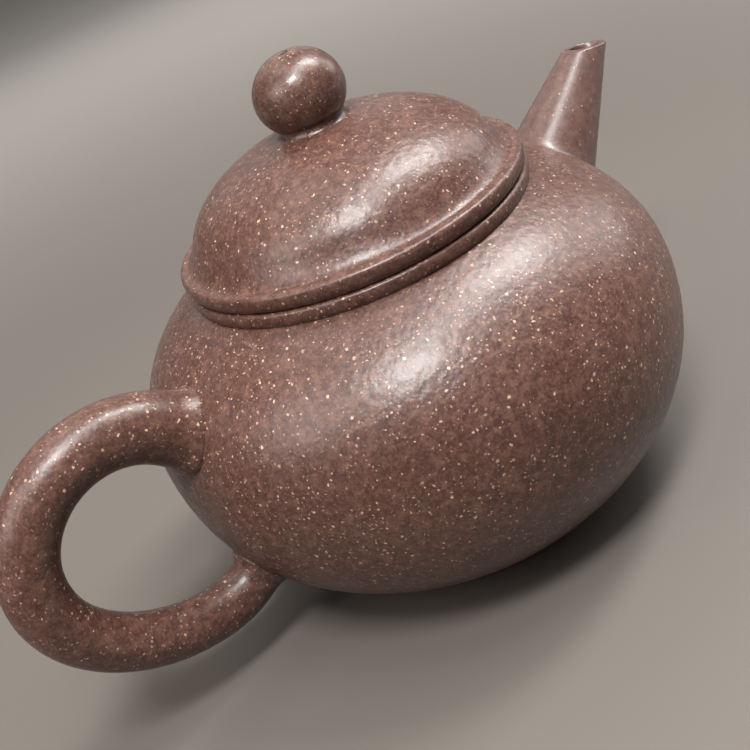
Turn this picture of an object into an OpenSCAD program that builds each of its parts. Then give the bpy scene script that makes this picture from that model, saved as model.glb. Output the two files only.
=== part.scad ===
// Hand-built clay teapot: a low round belly on a foot ring, a straight spout, an ear-shaped
// handle and a domed lid with a ball knob. Each piece that the potter joins is its own solid.
// +Z is up and the foot stands on z = 0, the pot's axis is the Z axis, and the spout points to +X.

/* [Belly] */
// Widest diameter of the belly
belly_d = 86; // [80:0.5:92]
// Height of the widest line above the table
belly_z = 28.5; // [28:0.1:29]
// Rise from the widest line to the shoulder crease under the mouth ring
shoulder_rise = 22.1; // [21.8:0.1:22.4]
// Half height that the upper curve would reach if it were closed
upper_half = 26.4; // [26:0.1:27]
// Half height that the lower curve would reach if it were closed
lower_half = 32.5; // [32:0.1:33]
// Fullness of the upper curve, where 2 is an ellipse
upper_fullness = 2.3; // [2.25:0.01:2.35]
// Fullness of the lower curve, where 2 is an ellipse
lower_fullness = 2.15; // [2.1:0.01:2.2]
// Thickness of the belly wall
wall = 3; // [2.6:0.1:3.2]

/* [Foot and base] */
// Height of the foot ring
foot_h = 2.4; // [2:0.1:2.6]
// Width of the foot ring where it touches the table
foot_w = 2.6; // [2.2:0.1:3]
// Thickness of the base disc
base_t = 3.2; // [2.8:0.1:3.4]
// Height of the joint between the wall and the base disc
base_joint_z = 7.5; // [7:0.1:8]

/* [Mouth] */
// Inner diameter of the mouth
mouth_d = 45.8; // [45.4:0.1:46.2]
// Outer diameter of the mouth ring
mouth_ring_d = 54.3; // [54:0.1:54.8]
// Height of the mouth ring
mouth_ring_h = 2.2; // [2:0.1:2.4]
// Rise from the widest line to the joint between the wall and the shoulder disc
shoulder_joint_rise = 18.8; // [18.4:0.1:19.2]

/* [Lid] */
// Outer diameter of the lid's rim
lid_d = 54.4; // [54:0.1:55]
// Height of the lid's rim
lid_rim_h = 2.7; // [2.5:0.1:3]
// Rise of the dome above the rim
dome_h = 12.7; // [12:0.1:13]
// Diameter that the dome's curve would reach if it had no flare
dome_d = 48.6; // [48:0.1:49]
// Thickness of the lid
lid_t = 2.7; // [2.4:0.1:3]
// Depth of the flange below the rim
flange_depth = 7.3; // [6:0.1:8]
// Thickness of the flange
flange_t = 2.3; // [2:0.1:2.6]
// Gap all round between the flange and the mouth
flange_gap = 0.5; // [0.3:0.1:0.7]
// Gap between the rim and the mouth ring where the lid rests
seat_gap = 0.05; // [0.02:0.01:0.1]

/* [Knob] */
// Diameter of the ball knob
knob_d = 13.6; // [13:0.1:14.4]
// Height of the ball if it were whole
knob_h = 12; // [11.6:0.1:12.4]
// Diameter of the neck under the ball
neck_d = 10.2; // [9.8:0.1:10.6]
// Diameter of the vent hole through the knob and the lid
vent_d = 1.8; // [1.6:0.1:2.4]

/* [Spout] */
// Angle of the spout above level
spout_angle = 41; // [39:0.5:43]
// Distance from the pot's axis to the middle of the spout's root
spout_root_x = 40.15; // [39.8:0.05:40.4]
// Rise of the middle of the spout's root above the belly's widest line
spout_root_rise = 10.1; // [9.6:0.1:10.6]
// Length from the root to the middle of the lip
spout_l = 22.6; // [21:0.1:24]
// Outer diameter at the root
spout_root_d = 16.4; // [16:0.1:17]
// Outer diameter at the lip
spout_tip_d = 6.5; // [6.2:0.1:7]
// Diameter of the channel at the root
channel_root_d = 12; // [11.4:0.1:12.4]
// Diameter of the channel at the lip
channel_tip_d = 4.6; // [4.2:0.1:5]
// Slope of the lip, falling away from the pot
lip_slope = 10; // [6:0.5:14]

/* [Strainer] */
// Outer diameter of the strainer ball
strainer_d = 15; // [14.6:0.1:15.2]
// Thickness of the strainer
strainer_t = 1.5; // [1.4:0.1:1.6]
// Diameter of the strainer's holes
strainer_hole_d = 1.7; // [1.4:0.1:1.8]
// Diameter of the hole in the belly wall under the spout
wall_hole_d = 10.6; // [10:0.1:11]

/* [Handle] */
// Thickness of the handle where it leaves the shoulder
handle_top_d = 11.2; // [10.4:0.1:11.6]
// Thickness of the handle at the back of the loop
handle_back_d = 8.7; // [8.2:0.1:9]
// Thickness of the handle at its lower root
handle_low_d = 7.6; // [7.2:0.1:8]
// Distance from the pot's axis to the back of the loop's middle line
handle_reach = 67.6; // [67:0.1:69]

/* [Hidden] */

$fn = 96;
eps = 0.03;          // clearance that keeps a cut clear of the face it follows
curve_steps = 18;    // straight pieces in a long profile curve
round_steps = 8;     // straight pieces in a small rounding
clay = [0.43, 0.31, 0.28];
clay_light = [0.48, 0.36, 0.33];

belly_r = belly_d / 2;
crease_z = belly_z + shoulder_rise;
seat_z = crease_z + mouth_ring_h;
shoulder_joint_z = belly_z + shoulder_joint_rise;
mouth_r = mouth_d / 2;
floor_z = foot_h + base_t;

lid_z = seat_z + seat_gap;
dome_z = lid_z + lid_rim_h - 0.35;
flange_r = mouth_r - flange_gap;
flange_in_r = flange_r - flange_t;
dome_r = dome_d / 2;
flare_r = lid_d / 2 - 1.3;
crown_z = dome_z + dome_h;
knob_z = crown_z + knob_h / 2 - 1.3;

spout_root = [spout_root_x, 0, belly_z + spout_root_rise];
spout_overlap = 9;   // how far the spout's cone starts inside the belly before it is cut
strainer_tilt = 26;  // the wall's slope at the spout, measured from level

handle_back_z = 32.2;
handle_upper = [[-38.4, 39.7], [-48.7, 54.2], [-handle_reach, 47.1], [-handle_reach, handle_back_z]];
handle_lower = [[-handle_reach, handle_back_z], [-handle_reach, 17.9], [-46.5, 7.5], [-38.6, 15.2]];
handle_rings = 22;   // rings in each half of the loop
handle_sides = 28;

// ---- curves ----

// Point of a quarter superellipse at angle t, with half width a, half height b and fullness n
function full_point(a, b, n, t) = [a * pow(cos(t), 2 / n), b * pow(sin(t), 2 / n)];

// Angle at which that quarter reaches height h
function full_angle(b, n, h) = asin(pow(h / b, n / 2));

// Belly profile above its widest line, from rise h1 to rise h2, set in by inset
function upper_curve(inset, h1, h2) =
  let (
    b = upper_half - inset,
    t1 = full_angle(b, upper_fullness, h1),
    t2 = full_angle(b, upper_fullness, h2)
  )
  [for (i = [0:curve_steps])
    full_point(belly_r - inset, b, upper_fullness, t1 + (t2 - t1) * i / curve_steps) + [0, belly_z]];

// Belly profile below its widest line, from drop h1 to drop h2, set in by inset
function lower_curve(inset, h1, h2) =
  let (
    b = lower_half - inset,
    t1 = full_angle(b, lower_fullness, h1),
    t2 = full_angle(b, lower_fullness, h2)
  )
  [for (i = [0:curve_steps])
    let (p = full_point(belly_r - inset, b, lower_fullness, t1 + (t2 - t1) * i / curve_steps))
      [p[0], belly_z - p[1]]];

// The same points in the other direction
function reversed(points) = [for (i = [len(points) - 1:-1:0]) points[i]];

// All but the first point
function after_first(points) = [for (i = [1:len(points) - 1]) points[i]];

// Curve that leaves a towards b and arrives at c from b
function bend(a, b, c) =
  [for (i = [0:round_steps])
    let (t = i / round_steps)
      (1 - t) * (1 - t) * a + 2 * (1 - t) * t * b + t * t * c];

// Outer face of a band from height z1 to z2: it leans out from r1 at the foot to r2 near the top,
// then turns over a rounded edge
function band(r1, r2, z1, z2, edge) =
  concat(
    bend([r1, z1], [r2, z1 + edge / 2], [r2, z2 - edge]),
    after_first(bend([r2, z2 - edge], [r2, z2], [r2 - edge, z2]))
  );

// Point at t of the curve that four control points steer
function steer(p, t) =
  pow(1 - t, 3) * p[0] + 3 * pow(1 - t, 2) * t * p[1] + 3 * (1 - t) * t * t * p[2] + pow(t, 3) * p[3];

// ---- shared solids ----

// The belly filled solid, to cut the pieces that sit on it
module belly_solid(inset) {
  rotate_extrude()
    polygon(concat(
      [[0, base_joint_z]],
      reversed(lower_curve(inset, 0, belly_z - base_joint_z)),
      after_first(upper_curve(inset, 0, shoulder_joint_rise)),
      after_first(upper_curve(inset, shoulder_joint_rise, shoulder_rise)),
      [[0, crease_z]]
    ));
}

// Moves a solid drawn upwards along Z onto the spout's line
module on_spout_line() {
  translate(spout_root)
    rotate([0, 90 - spout_angle, 0])
      children();
}

// ---- pot ----

module body_wall() {
  color(clay)
    difference() {
      rotate_extrude()
        polygon(concat(
          reversed(lower_curve(0, 0, belly_z - base_joint_z)),
          after_first(upper_curve(0, 0, shoulder_joint_rise)),
          reversed(upper_curve(wall, 0, shoulder_joint_rise)),
          after_first(lower_curve(wall, 0, belly_z - base_joint_z))
        ));
      on_spout_line()
        translate([0, 0, -wall * 3])
          cylinder(d = wall_hole_d, h = wall * 6);
    }
}

module shoulder_disc() {
  inner_rise = (upper_half - wall)
    * pow(1 - pow(mouth_r / (belly_r - wall), upper_fullness), 1 / upper_fullness);
  color(clay)
    rotate_extrude()
      polygon(concat(
        upper_curve(0, shoulder_joint_rise, shoulder_rise),
        [[mouth_r, crease_z]],
        reversed(upper_curve(wall, shoulder_joint_rise, inner_rise))
      ));
}

module base_disc() {
  crown = 0.8;       // the base rises this much towards its middle
  foot_mid_r = 14;
  color(clay)
    rotate_extrude()
      polygon(concat(
        lower_curve(0, belly_z - base_joint_z, belly_z - foot_h),
        bend([23.6, foot_h], [foot_mid_r, foot_h + crown], [0, foot_h + crown]),
        [[0, floor_z + crown]],
        after_first(bend([0, floor_z + crown], [foot_mid_r, floor_z + crown], [24, floor_z])),
        reversed(lower_curve(wall, belly_z - base_joint_z, belly_z - floor_z))
      ));
}

module foot_ring() {
  top_out = lower_curve(0, belly_z - base_joint_z, belly_z - foot_h)[curve_steps][0] - 0.3;
  low_out = top_out - 0.7;
  low_in = low_out - foot_w;
  edge = 0.5;
  color(clay)
    rotate_extrude()
      polygon(concat(
        [[low_in + edge, 0]],
        bend([low_out - edge, 0], [low_out, 0], [low_out, edge]),
        bend([low_out + 0.05, foot_h - 0.9], [low_out + 0.15, foot_h - 0.1], [top_out, foot_h]),
        [[low_in - 0.3, foot_h]],
        bend([low_in, edge], [low_in, 0], [low_in + edge, 0])
      ));
}

module mouth_ring() {
  edge = 0.7;
  lean = 0.45;
  ring_r = mouth_ring_d / 2;
  color(clay)
    rotate_extrude()
      polygon(concat(
        [[mouth_r, crease_z]],
        band(ring_r - lean, ring_r, crease_z, seat_z, edge),
        bend([mouth_r + edge, seat_z], [mouth_r, seat_z], [mouth_r, seat_z - edge])
      ));
}

module spout() {
  lip_end = spout_l + 6;
  taper = (spout_root_d - spout_tip_d) / 2 / spout_l;
  channel_taper = (channel_root_d - channel_tip_d) / 2 / spout_l;
  flare = 1.2;       // extra radius where the clay is smoothed onto the belly
  flare_l = 5;
  color(clay_light)
    difference() {
      on_spout_line()
        rotate_extrude()
          polygon(concat(
            [
              [0, -spout_overlap],
              [spout_root_d / 2 + flare + taper * spout_overlap, -spout_overlap]
            ],
            bend(
              [spout_root_d / 2 + flare + 1, -3],
              [spout_root_d / 2 + 0.2, 0.5],
              [spout_root_d / 2 - taper * flare_l, flare_l]
            ),
            [
              [spout_root_d / 2 - taper * lip_end, lip_end],
              [0, lip_end]
            ]
          ));
      on_spout_line()
        translate([0, 0, -spout_overlap - 1])
          cylinder(
            r1 = channel_root_d / 2 + channel_taper * (spout_overlap + 1),
            r2 = channel_root_d / 2 - channel_taper * (lip_end + 1),
            h = lip_end + spout_overlap + 2
          );
      belly_solid(-eps);
      translate(spout_root + spout_l * [cos(spout_angle), 0, sin(spout_angle)])
        rotate([0, lip_slope, 0])
          translate([-20, -20, 0])
            cube(40);
    }
}

module strainer() {
  ring_tilt = [0, 30, 60];
  ring_count = [1, 6, 12];
  inner_r = belly_r - wall;
  color(clay)
    intersection() {
      translate(spout_root - 2.4 * [cos(spout_angle), 0, sin(spout_angle)])
        rotate([0, -90 - strainer_tilt, 0])
          difference() {
            sphere(d = strainer_d);
            sphere(d = strainer_d - 2 * strainer_t);
            for (k = [0:2])
              for (i = [0:ring_count[k] - 1])
                rotate([0, ring_tilt[k], 360 / ring_count[k] * i])
                  cylinder(d = strainer_hole_d, h = strainer_d, $fn = 24);
          }
      belly_solid(wall);
    }
}

// Ring of the handle's tube round point p, in the plane across direction d
function tube_ring(p, d, r) =
  [for (j = [0:handle_sides - 1])
    let (a = 360 / handle_sides * j)
      [p[0] - d[1] * r * cos(a), r * sin(a), p[1] + d[0] * r * cos(a)]];

// Thickness of the handle at s, which runs from 0 at the upper root to 1 at the lower one
function handle_r(s) =
  let (even = s < 0.5 ? handle_back_d : handle_low_d)
    (handle_back_d + (handle_low_d - handle_back_d) * (2 * s - 1) * (s < 0.5 ? 0.4 : 1)
      + (handle_top_d - handle_back_d - 0.4 * (handle_back_d - handle_low_d)) * pow(1 - s, 8)) / 2;

module handle() {
  path = concat(
    [for (i = [0:handle_rings]) steer(handle_upper, i / handle_rings)],
    [for (i = [1:handle_rings]) steer(handle_lower, i / handle_rings)]
  );
  last = len(path) - 1;
  run_in = 5;        // how far each end runs into the belly before it is cut
  d0 = (path[1] - path[0]) / norm(path[1] - path[0]);
  d1 = (path[last] - path[last - 1]) / norm(path[last] - path[last - 1]);
  line = concat([path[0] - run_in * d0], path, [path[last] + run_in * d1]);
  n = len(line);
  points = [
    for (i = [0:n - 1])
      let (
        before = line[max(i - 1, 0)],
        after = line[min(i + 1, n - 1)],
        d = (after - before) / norm(after - before)
      )
        each tube_ring(line[i], d, handle_r((i - 1) / last))
  ];
  sides = [
    for (i = [0:n - 2])
      for (j = [0:handle_sides - 1])
        let (
          a = i * handle_sides + j,
          b = i * handle_sides + (j + 1) % handle_sides
        )
          each [[a, b, b + handle_sides], [a, b + handle_sides, a + handle_sides]]
  ];
  ends = [
    [for (j = [handle_sides - 1:-1:0]) j],
    [for (j = [0:handle_sides - 1]) (n - 1) * handle_sides + j]
  ];
  color(clay)
    difference() {
      polyhedron(points, concat(sides, ends), convexity = 4);
      belly_solid(-eps);
    }
}

// ---- lid ----

module vent() {
  cylinder(d = vent_d, h = 200);
}

module lid_dome() {
  flare_start = 15;  // angle up the dome's curve at which the flare begins
  inner_r = dome_r - lid_t;
  inner_h = dome_h - lid_t;
  steep = dome_h * cos(flare_start) / (dome_r * sin(flare_start));
  turn = [dome_r * cos(flare_start), dome_z + dome_h * sin(flare_start)];
  low_z = lid_z + lid_rim_h;
  color(clay)
    difference() {
      rotate_extrude()
        polygon(concat(
          [[flange_in_r, dome_z], [flare_r, dome_z]],
          reversed(bend(turn, [turn[0] + (turn[1] - low_z) / steep, low_z], [flare_r, low_z])),
          [for (i = [1:curve_steps])
            let (t = flare_start + (90 - flare_start) * i / curve_steps)
              [dome_r * cos(t), dome_z + dome_h * sin(t)]],
          [for (i = [0:curve_steps - 1])
            let (t = 90 - 90 * i / curve_steps)
              [flange_in_r * cos(t), dome_z + inner_h * sin(t)]]
        ));
      vent();
    }
}

module lid_rim() {
  edge = 0.9;
  lean = 0.8;
  color(clay)
    rotate_extrude()
      polygon(concat(
        [[flange_in_r, lid_z]],
        band(lid_d / 2 - lean, lid_d / 2, lid_z, lid_z + lid_rim_h, edge),
        [[flare_r, lid_z + lid_rim_h], [flare_r, dome_z], [flange_in_r, dome_z]]
      ));
}

module lid_flange() {
  edge = 0.6;
  low_z = lid_z - flange_depth;
  color(clay)
    rotate_extrude()
      polygon(concat(
        [[flange_r, lid_z], [flange_in_r, lid_z]],
        bend([flange_in_r, low_z + edge], [flange_in_r, low_z], [flange_in_r + edge, low_z]),
        bend([flange_r - edge, low_z], [flange_r, low_z], [flange_r, low_z + edge])
      ));
}

module knob() {
  neck_r = neck_d / 2;
  ball_r = knob_d / 2;
  half_h = knob_h / 2;
  neck_t = acos(neck_r / ball_r);
  flat_t = 72;       // above this angle the crown is flattened
  foot_r = neck_r + 0.7;
  foot_t = acos(foot_r / dome_r);
  color(clay_light)
    difference() {
      rotate_extrude()
        polygon(concat(
          [for (i = [0:4])
            let (t = 90 - (90 - foot_t) * i / 4)
              [dome_r * cos(t), dome_z + dome_h * sin(t)]],
          bend(
            [foot_r, dome_z + dome_h * sin(foot_t)],
            [neck_r, dome_z + dome_h * sin(foot_t) + 0.2],
            [neck_r, knob_z - half_h * sin(neck_t)]
          ),
          [for (i = [1:curve_steps])
            let (t = -neck_t + (flat_t + neck_t) * i / curve_steps)
              [ball_r * cos(t), knob_z + half_h * sin(t)]],
          [[0, knob_z + half_h * sin(flat_t) + 0.12]]
        ));
      vent();
    }
}

body_wall();
shoulder_disc();
base_disc();
foot_ring();
mouth_ring();
spout();
strainer();
handle();
lid_dome();
lid_rim();
lid_flange();
knob();
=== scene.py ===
# A hand-built clay teapot on a plain floor: turned belly and lid, cone spout, ear-shaped handle.
import bpy
import bmesh
import math
from mathutils import Matrix, Vector


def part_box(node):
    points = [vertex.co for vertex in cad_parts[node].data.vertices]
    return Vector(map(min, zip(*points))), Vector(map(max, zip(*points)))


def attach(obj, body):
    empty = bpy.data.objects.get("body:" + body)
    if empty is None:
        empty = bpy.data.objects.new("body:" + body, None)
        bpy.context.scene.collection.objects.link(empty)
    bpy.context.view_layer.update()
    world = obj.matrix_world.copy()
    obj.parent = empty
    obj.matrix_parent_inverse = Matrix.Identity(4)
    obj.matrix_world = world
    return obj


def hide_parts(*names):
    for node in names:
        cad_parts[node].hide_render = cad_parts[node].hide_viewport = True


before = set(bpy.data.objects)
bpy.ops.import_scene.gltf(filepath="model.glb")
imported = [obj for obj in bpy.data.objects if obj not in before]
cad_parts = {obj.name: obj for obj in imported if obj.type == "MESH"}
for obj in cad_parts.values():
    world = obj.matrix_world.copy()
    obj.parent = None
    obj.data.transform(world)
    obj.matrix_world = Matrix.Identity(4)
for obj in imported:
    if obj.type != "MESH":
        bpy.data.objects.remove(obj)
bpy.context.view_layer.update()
print("frame loaded with", len(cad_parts), "nodes")

mm = 0.001

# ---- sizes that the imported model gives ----

wallLow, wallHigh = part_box("body_wall")
rimLow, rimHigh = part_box("lid_rim")
flangeLow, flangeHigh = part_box("lid_flange")
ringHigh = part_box("mouth_ring")[1]

bellyR = wallHigh.y
jointLow, jointHigh = wallLow.z, wallHigh.z
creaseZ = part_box("shoulder_disc")[1].z
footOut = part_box("foot_ring")[1].x
seatZ = ringHigh.z
ringR = ringHigh.x
lidZ = rimLow.z
rimR = rimHigh.x
flangeR = flangeHigh.x
flangeLowZ = flangeLow.z


# ---- wires and nodes ----

class Wire:  # an output that takes part in sums
    def __init__(self, bench, node, out):
        self.bench, self.node = bench, node
        self.out = node.outputs[out]

    def other(self, out):
        return Wire(self.bench, self.node, out)

    def sum(self, kind, first, second):
        return self.bench.add("ShaderNodeMath", {"operation": kind}, {0: first, 1: second})

    def __add__(self, value):
        return self.sum("ADD", self, value)

    def __radd__(self, value):
        return self.sum("ADD", value, self)

    def __sub__(self, value):
        return self.sum("SUBTRACT", self, value)

    def __rsub__(self, value):
        return self.sum("SUBTRACT", value, self)

    def __mul__(self, value):
        return self.sum("MULTIPLY", self, value)

    def __rmul__(self, value):
        return self.sum("MULTIPLY", value, self)

    def __truediv__(self, value):
        return self.sum("DIVIDE", self, value)

    def __lt__(self, value):
        return self.sum("LESS_THAN", self, value)

    def __gt__(self, value):
        return self.sum("GREATER_THAN", self, value)

    def atLeast(self, value):
        return self.sum("MAXIMUM", self, value)

    def atMost(self, value):
        return self.sum("MINIMUM", self, value)


class Bench:  # one node tree and the way to add to it
    def __init__(self, tree):
        self.tree = tree

    def add(self, kind, settings=None, sockets=None, out=0):
        node = self.tree.nodes.new(kind)
        for key, value in (settings or {}).items():
            setattr(node, key, value)
        for key, value in (sockets or {}).items():
            for one in value if isinstance(value, list) else [value]:
                if isinstance(one, Wire):
                    self.tree.links.new(one.out, node.inputs[key])
                else:
                    node.inputs[key].default_value = one
        return Wire(self, node, out) if len(node.outputs) else node

    def blend(self, amount, first, second):
        return self.add("ShaderNodeMix", {"data_type": "RGBA"}, {0: amount, 6: first, 7: second}, 2)

    def scaled(self, vector, amount):
        return self.add("ShaderNodeVectorMath", {"operation": "SCALE"}, {0: vector, 3: amount})

    def joined(self, first, second):
        return self.add("ShaderNodeVectorMath", {"operation": "ADD"}, {0: first, 1: second})

    def apart(self, first, second):
        return self.add("ShaderNodeVectorMath", {"operation": "SUBTRACT"}, {0: first, 1: second})

    def between(self, value, low, high):  # climbs smoothly from 0 at low to 1 at high
        return self.add("ShaderNodeMapRange", {"interpolation_type": "SMOOTHSTEP"},
                        {0: value, 1: low, 2: high})


def newTree(name, wanted):
    tree = bpy.data.node_groups.new(name, "GeometryNodeTree")
    tree.interface.new_socket(name="Geometry", in_out="OUTPUT", socket_type="NodeSocketGeometry")
    tree.interface.new_socket(name="Geometry", in_out="INPUT", socket_type="NodeSocketGeometry")
    for label, kind, value in wanted:
        socket = tree.interface.new_socket(name=label, in_out="INPUT", socket_type="NodeSocket" + kind)
        if value is not None:
            socket.default_value = value
    bench = Bench(tree)
    given = bench.add("NodeGroupInput")
    return bench, {label: given.other(label) for label in ["Geometry"] + [w[0] for w in wanted]}


def endTree(bench, geometry):
    bench.add("NodeGroupOutput", {}, {"Geometry": geometry})
    return bench.tree


# ---- the hand's unevenness, shared by every piece so that the joints stay shut ----

hand = {
    "lumps": 0.13 * mm,        # how far the surface wanders
    "lumpSize": 24 * mm,
    "dents": 0.035 * mm,       # smaller dents from the tool
    "dentSize": 6.5 * mm,
    "centre": (0, 0, 28.5 * mm),
    "flatBelow": 0.5 * mm,     # nothing moves under this height, so the foot stays flat
    "quietBelow": 7 * mm,      # the unevenness is full above this height
    "sharpAngle": 38,          # edges above this many degrees stay crisp
    "dentShift": (0.31, 0.17, 0.05),   # keeps the dents from following the lumps
}
handInputs = [
    ("Lumps", "Float", hand["lumps"]),
    ("Dents", "Float", hand["dents"]),
    ("Sharp angle", "Float", math.radians(hand["sharpAngle"])),
    ("Clay", "Material", None),
]


def inClay(bench, geometry, given):  # one real mesh with its material
    whole = bench.add("GeometryNodeRealizeInstances", {}, {"Geometry": geometry})
    return endTree(bench, bench.add("GeometryNodeSetMaterial", {},
                                    {"Geometry": whole, "Material": given["Clay"]}))


def crispAbove(bench, geometry, limit):  # edges bent more than the limit shade as edges
    angle = bench.add("GeometryNodeInputMeshEdgeAngle", {}, {}, "Unsigned Angle")
    return bench.add("GeometryNodeSetShadeSmooth", {"domain": "EDGE"},
                     {"Geometry": geometry, "Selection": angle > limit, "Shade Smooth": False})


def handTree():
    bench, given = newTree("handWork", handInputs)
    place = bench.add("GeometryNodeInputPosition")
    height = bench.add("ShaderNodeSeparateXYZ", {}, {0: place}, "Z")
    outwards = bench.add("ShaderNodeVectorMath", {"operation": "NORMALIZE"},
                         {0: bench.apart(place, hand["centre"])})
    broad = bench.add("ShaderNodeTexNoise", {}, {"Vector": place, "Scale": 1 / hand["lumpSize"],
                                                 "Detail": 1.0, "Roughness": 0.4})
    fine = bench.add("ShaderNodeTexNoise", {}, {"Vector": bench.joined(place, hand["dentShift"]),
                                                "Scale": 1 / hand["dentSize"], "Detail": 1.0})
    rise = (broad - 0.5) * 2 * given["Lumps"] + (fine - 0.5) * 2 * given["Dents"]
    rise = rise * bench.between(height, hand["flatBelow"], hand["quietBelow"])
    moved = bench.add("GeometryNodeSetPosition", {}, {"Geometry": given["Geometry"],
                                                      "Offset": bench.scaled(outwards, rise)})
    smooth = bench.add("GeometryNodeSetShadeSmooth", {"domain": "FACE"},
                       {"Geometry": moved, "Shade Smooth": True})
    return inClay(bench, crispAbove(bench, smooth, given["Sharp angle"]), given)


handWork = handTree()


def ended(bench, geometry, given):  # the hand's work, then the finished mesh
    passed = {label: given[label] for label, kind, value in handInputs}
    worked = bench.add("GeometryNodeGroup", {"node_tree": handWork}, dict(passed, Geometry=geometry))
    return inClay(bench, worked, given)


axisR = 1e-6                   # so small that the profile keeps its own radius
mergeWithin = 4e-6


def turningTree():  # turns a standing profile round the pot's axis
    bench, given = newTree("turned", [("Segments", "Int", 256)] + handInputs)
    flat = bench.add("GeometryNodeTransform", {},
                     {"Geometry": given["Geometry"], "Rotation": (math.pi / 2, 0, 0)})
    profile = bench.add("GeometryNodeMeshToCurve", {}, {"Mesh": flat})
    circle = bench.add("GeometryNodeCurvePrimitiveCircle", {"mode": "RADIUS"},
                       {"Resolution": given["Segments"], "Radius": axisR})
    shell = bench.add("GeometryNodeCurveToMesh", {}, {"Curve": circle, "Profile Curve": profile})
    closed = bench.add("GeometryNodeMergeByDistance", {}, {"Geometry": shell, "Distance": mergeWithin})
    return ended(bench, closed, given)


def shapedTree():  # only the hand's work, for a piece that is already shaped
    bench, given = newTree("shaped", handInputs)
    return ended(bench, given["Geometry"], given)


turned = turningTree()
shaped = shapedTree()


def madeBy(tree, name, source, values):
    piece = bpy.data.objects.new(name, source)
    bpy.context.scene.collection.objects.link(piece)
    modifier = piece.modifiers.new("made", "NODES")
    modifier.node_group = tree
    for item in tree.interface.items_tree:
        if item.item_type == "SOCKET" and item.in_out == "INPUT" and item.name in values:
            modifier[item.identifier] = values[item.name]
    bpy.context.view_layer.update()
    evaluated = piece.evaluated_get(bpy.context.evaluated_depsgraph_get())
    mesh = bpy.data.meshes.new_from_object(evaluated)
    piece.modifiers.remove(modifier)
    piece.data = mesh
    mesh.name = name
    faceOut(mesh)
    return piece


def faceOut(mesh):
    sides = bmesh.new()
    sides.from_mesh(mesh)
    bmesh.ops.dissolve_degenerate(sides, dist=1e-7, edges=sides.edges)
    if sides.calc_volume(signed=True) < 0:
        bmesh.ops.reverse_faces(sides, faces=sides.faces)
    sides.to_mesh(mesh)
    sides.free()


def lineMesh(name, points, closed):
    mesh = bpy.data.meshes.new(name)
    count = len(points)
    edges = [(i, i + 1) for i in range(count - 1)] + ([(count - 1, 0)] if closed else [])
    mesh.from_pydata([(r, 0, z) for r, z in points], edges, [])
    return mesh


# ---- curves ----

endSteps = [0.02 * mm, 0.10 * mm, 0.25 * mm]
sameWithin = 2e-6


def evenly(points, step, fineEnds=False):  # the same line in steps of equal length
    lengths = [0.0]
    for (ax, az), (bx, bz) in zip(points, points[1:]):
        lengths.append(lengths[-1] + math.hypot(bx - ax, bz - az))
    count = max(2, math.ceil(lengths[-1] / step))
    wants = [lengths[-1] * i / count for i in range(count + 1)]
    if fineEnds:  # so that two pieces that meet smoothly shade as one
        farEnd = [lengths[-1] - d for d in endSteps[::-1]]
        wants = wants[:1] + endSteps + wants[1:-1] + farEnd + wants[-1:]
        wants.sort()
    result, k = [], 0
    for want in wants:
        while k < len(points) - 2 and lengths[k + 1] < want:
            k += 1
        share = (want - lengths[k]) / max(1e-12, lengths[k + 1] - lengths[k])
        share = min(1.0, max(0.0, share))
        (ax, az), (bx, bz) = points[k], points[k + 1]
        result.append((ax + (bx - ax) * share, az + (bz - az) * share))
    return result


def bend(a, b, c, steps=8):  # a curve from a to c that b pulls on
    line = []
    for i in range(steps + 1):
        t = i / steps
        line.append(tuple((1 - t) ** 2 * p + 2 * (1 - t) * t * q + t * t * r for p, q, r in zip(a, b, c)))
    return line


def band(r1, r2, z1, z2, edge):  # outer face that leans out and turns over a rounded edge
    return bend((r1, z1), (r2, z1 + edge / 2), (r2, z2 - edge)) \
        + bend((r2, z2 - edge), (r2, z2), (r2 - edge, z2))[1:]


def tidy(points):  # drops points that repeat
    kept = [points[0]]
    for p in points[1:]:
        if math.hypot(p[0] - kept[-1][0], p[1] - kept[-1][1]) > sameWithin:
            kept.append(p)
    if math.hypot(kept[0][0] - kept[-1][0], kept[0][1] - kept[-1][1]) < sameWithin:
        kept.pop()
    return kept


# ---- clay ----

claySizes = {
    "stir": 0.55 * mm,         # bends the grains' outlines
    "crowd": 9 * mm,           # patches where the grains gather
    "tone": 38 * mm,
    "cloud": 5 * mm,
    "grit": 0.42 * mm,
    "mottle": 1.3 * mm,
    "roughPatch": 3 * mm,
    "skin": 1.1 * mm,
    "pores": 0.9 * mm,
    "waves": 3.4 * mm,
    "softEdge": 0.07 * mm,     # over this width a grain fades out
}
grainSizes = {                 # spacing, smallest and largest radius
    "dark": (1.15 * mm, 0.10 * mm, 0.22 * mm),
    "fine": (0.44 * mm, 0.06 * mm, 0.14 * mm),
    "middle": (0.60 * mm, 0.09 * mm, 0.18 * mm),
    "large": (0.86 * mm, 0.12 * mm, 0.25 * mm),
}


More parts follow.
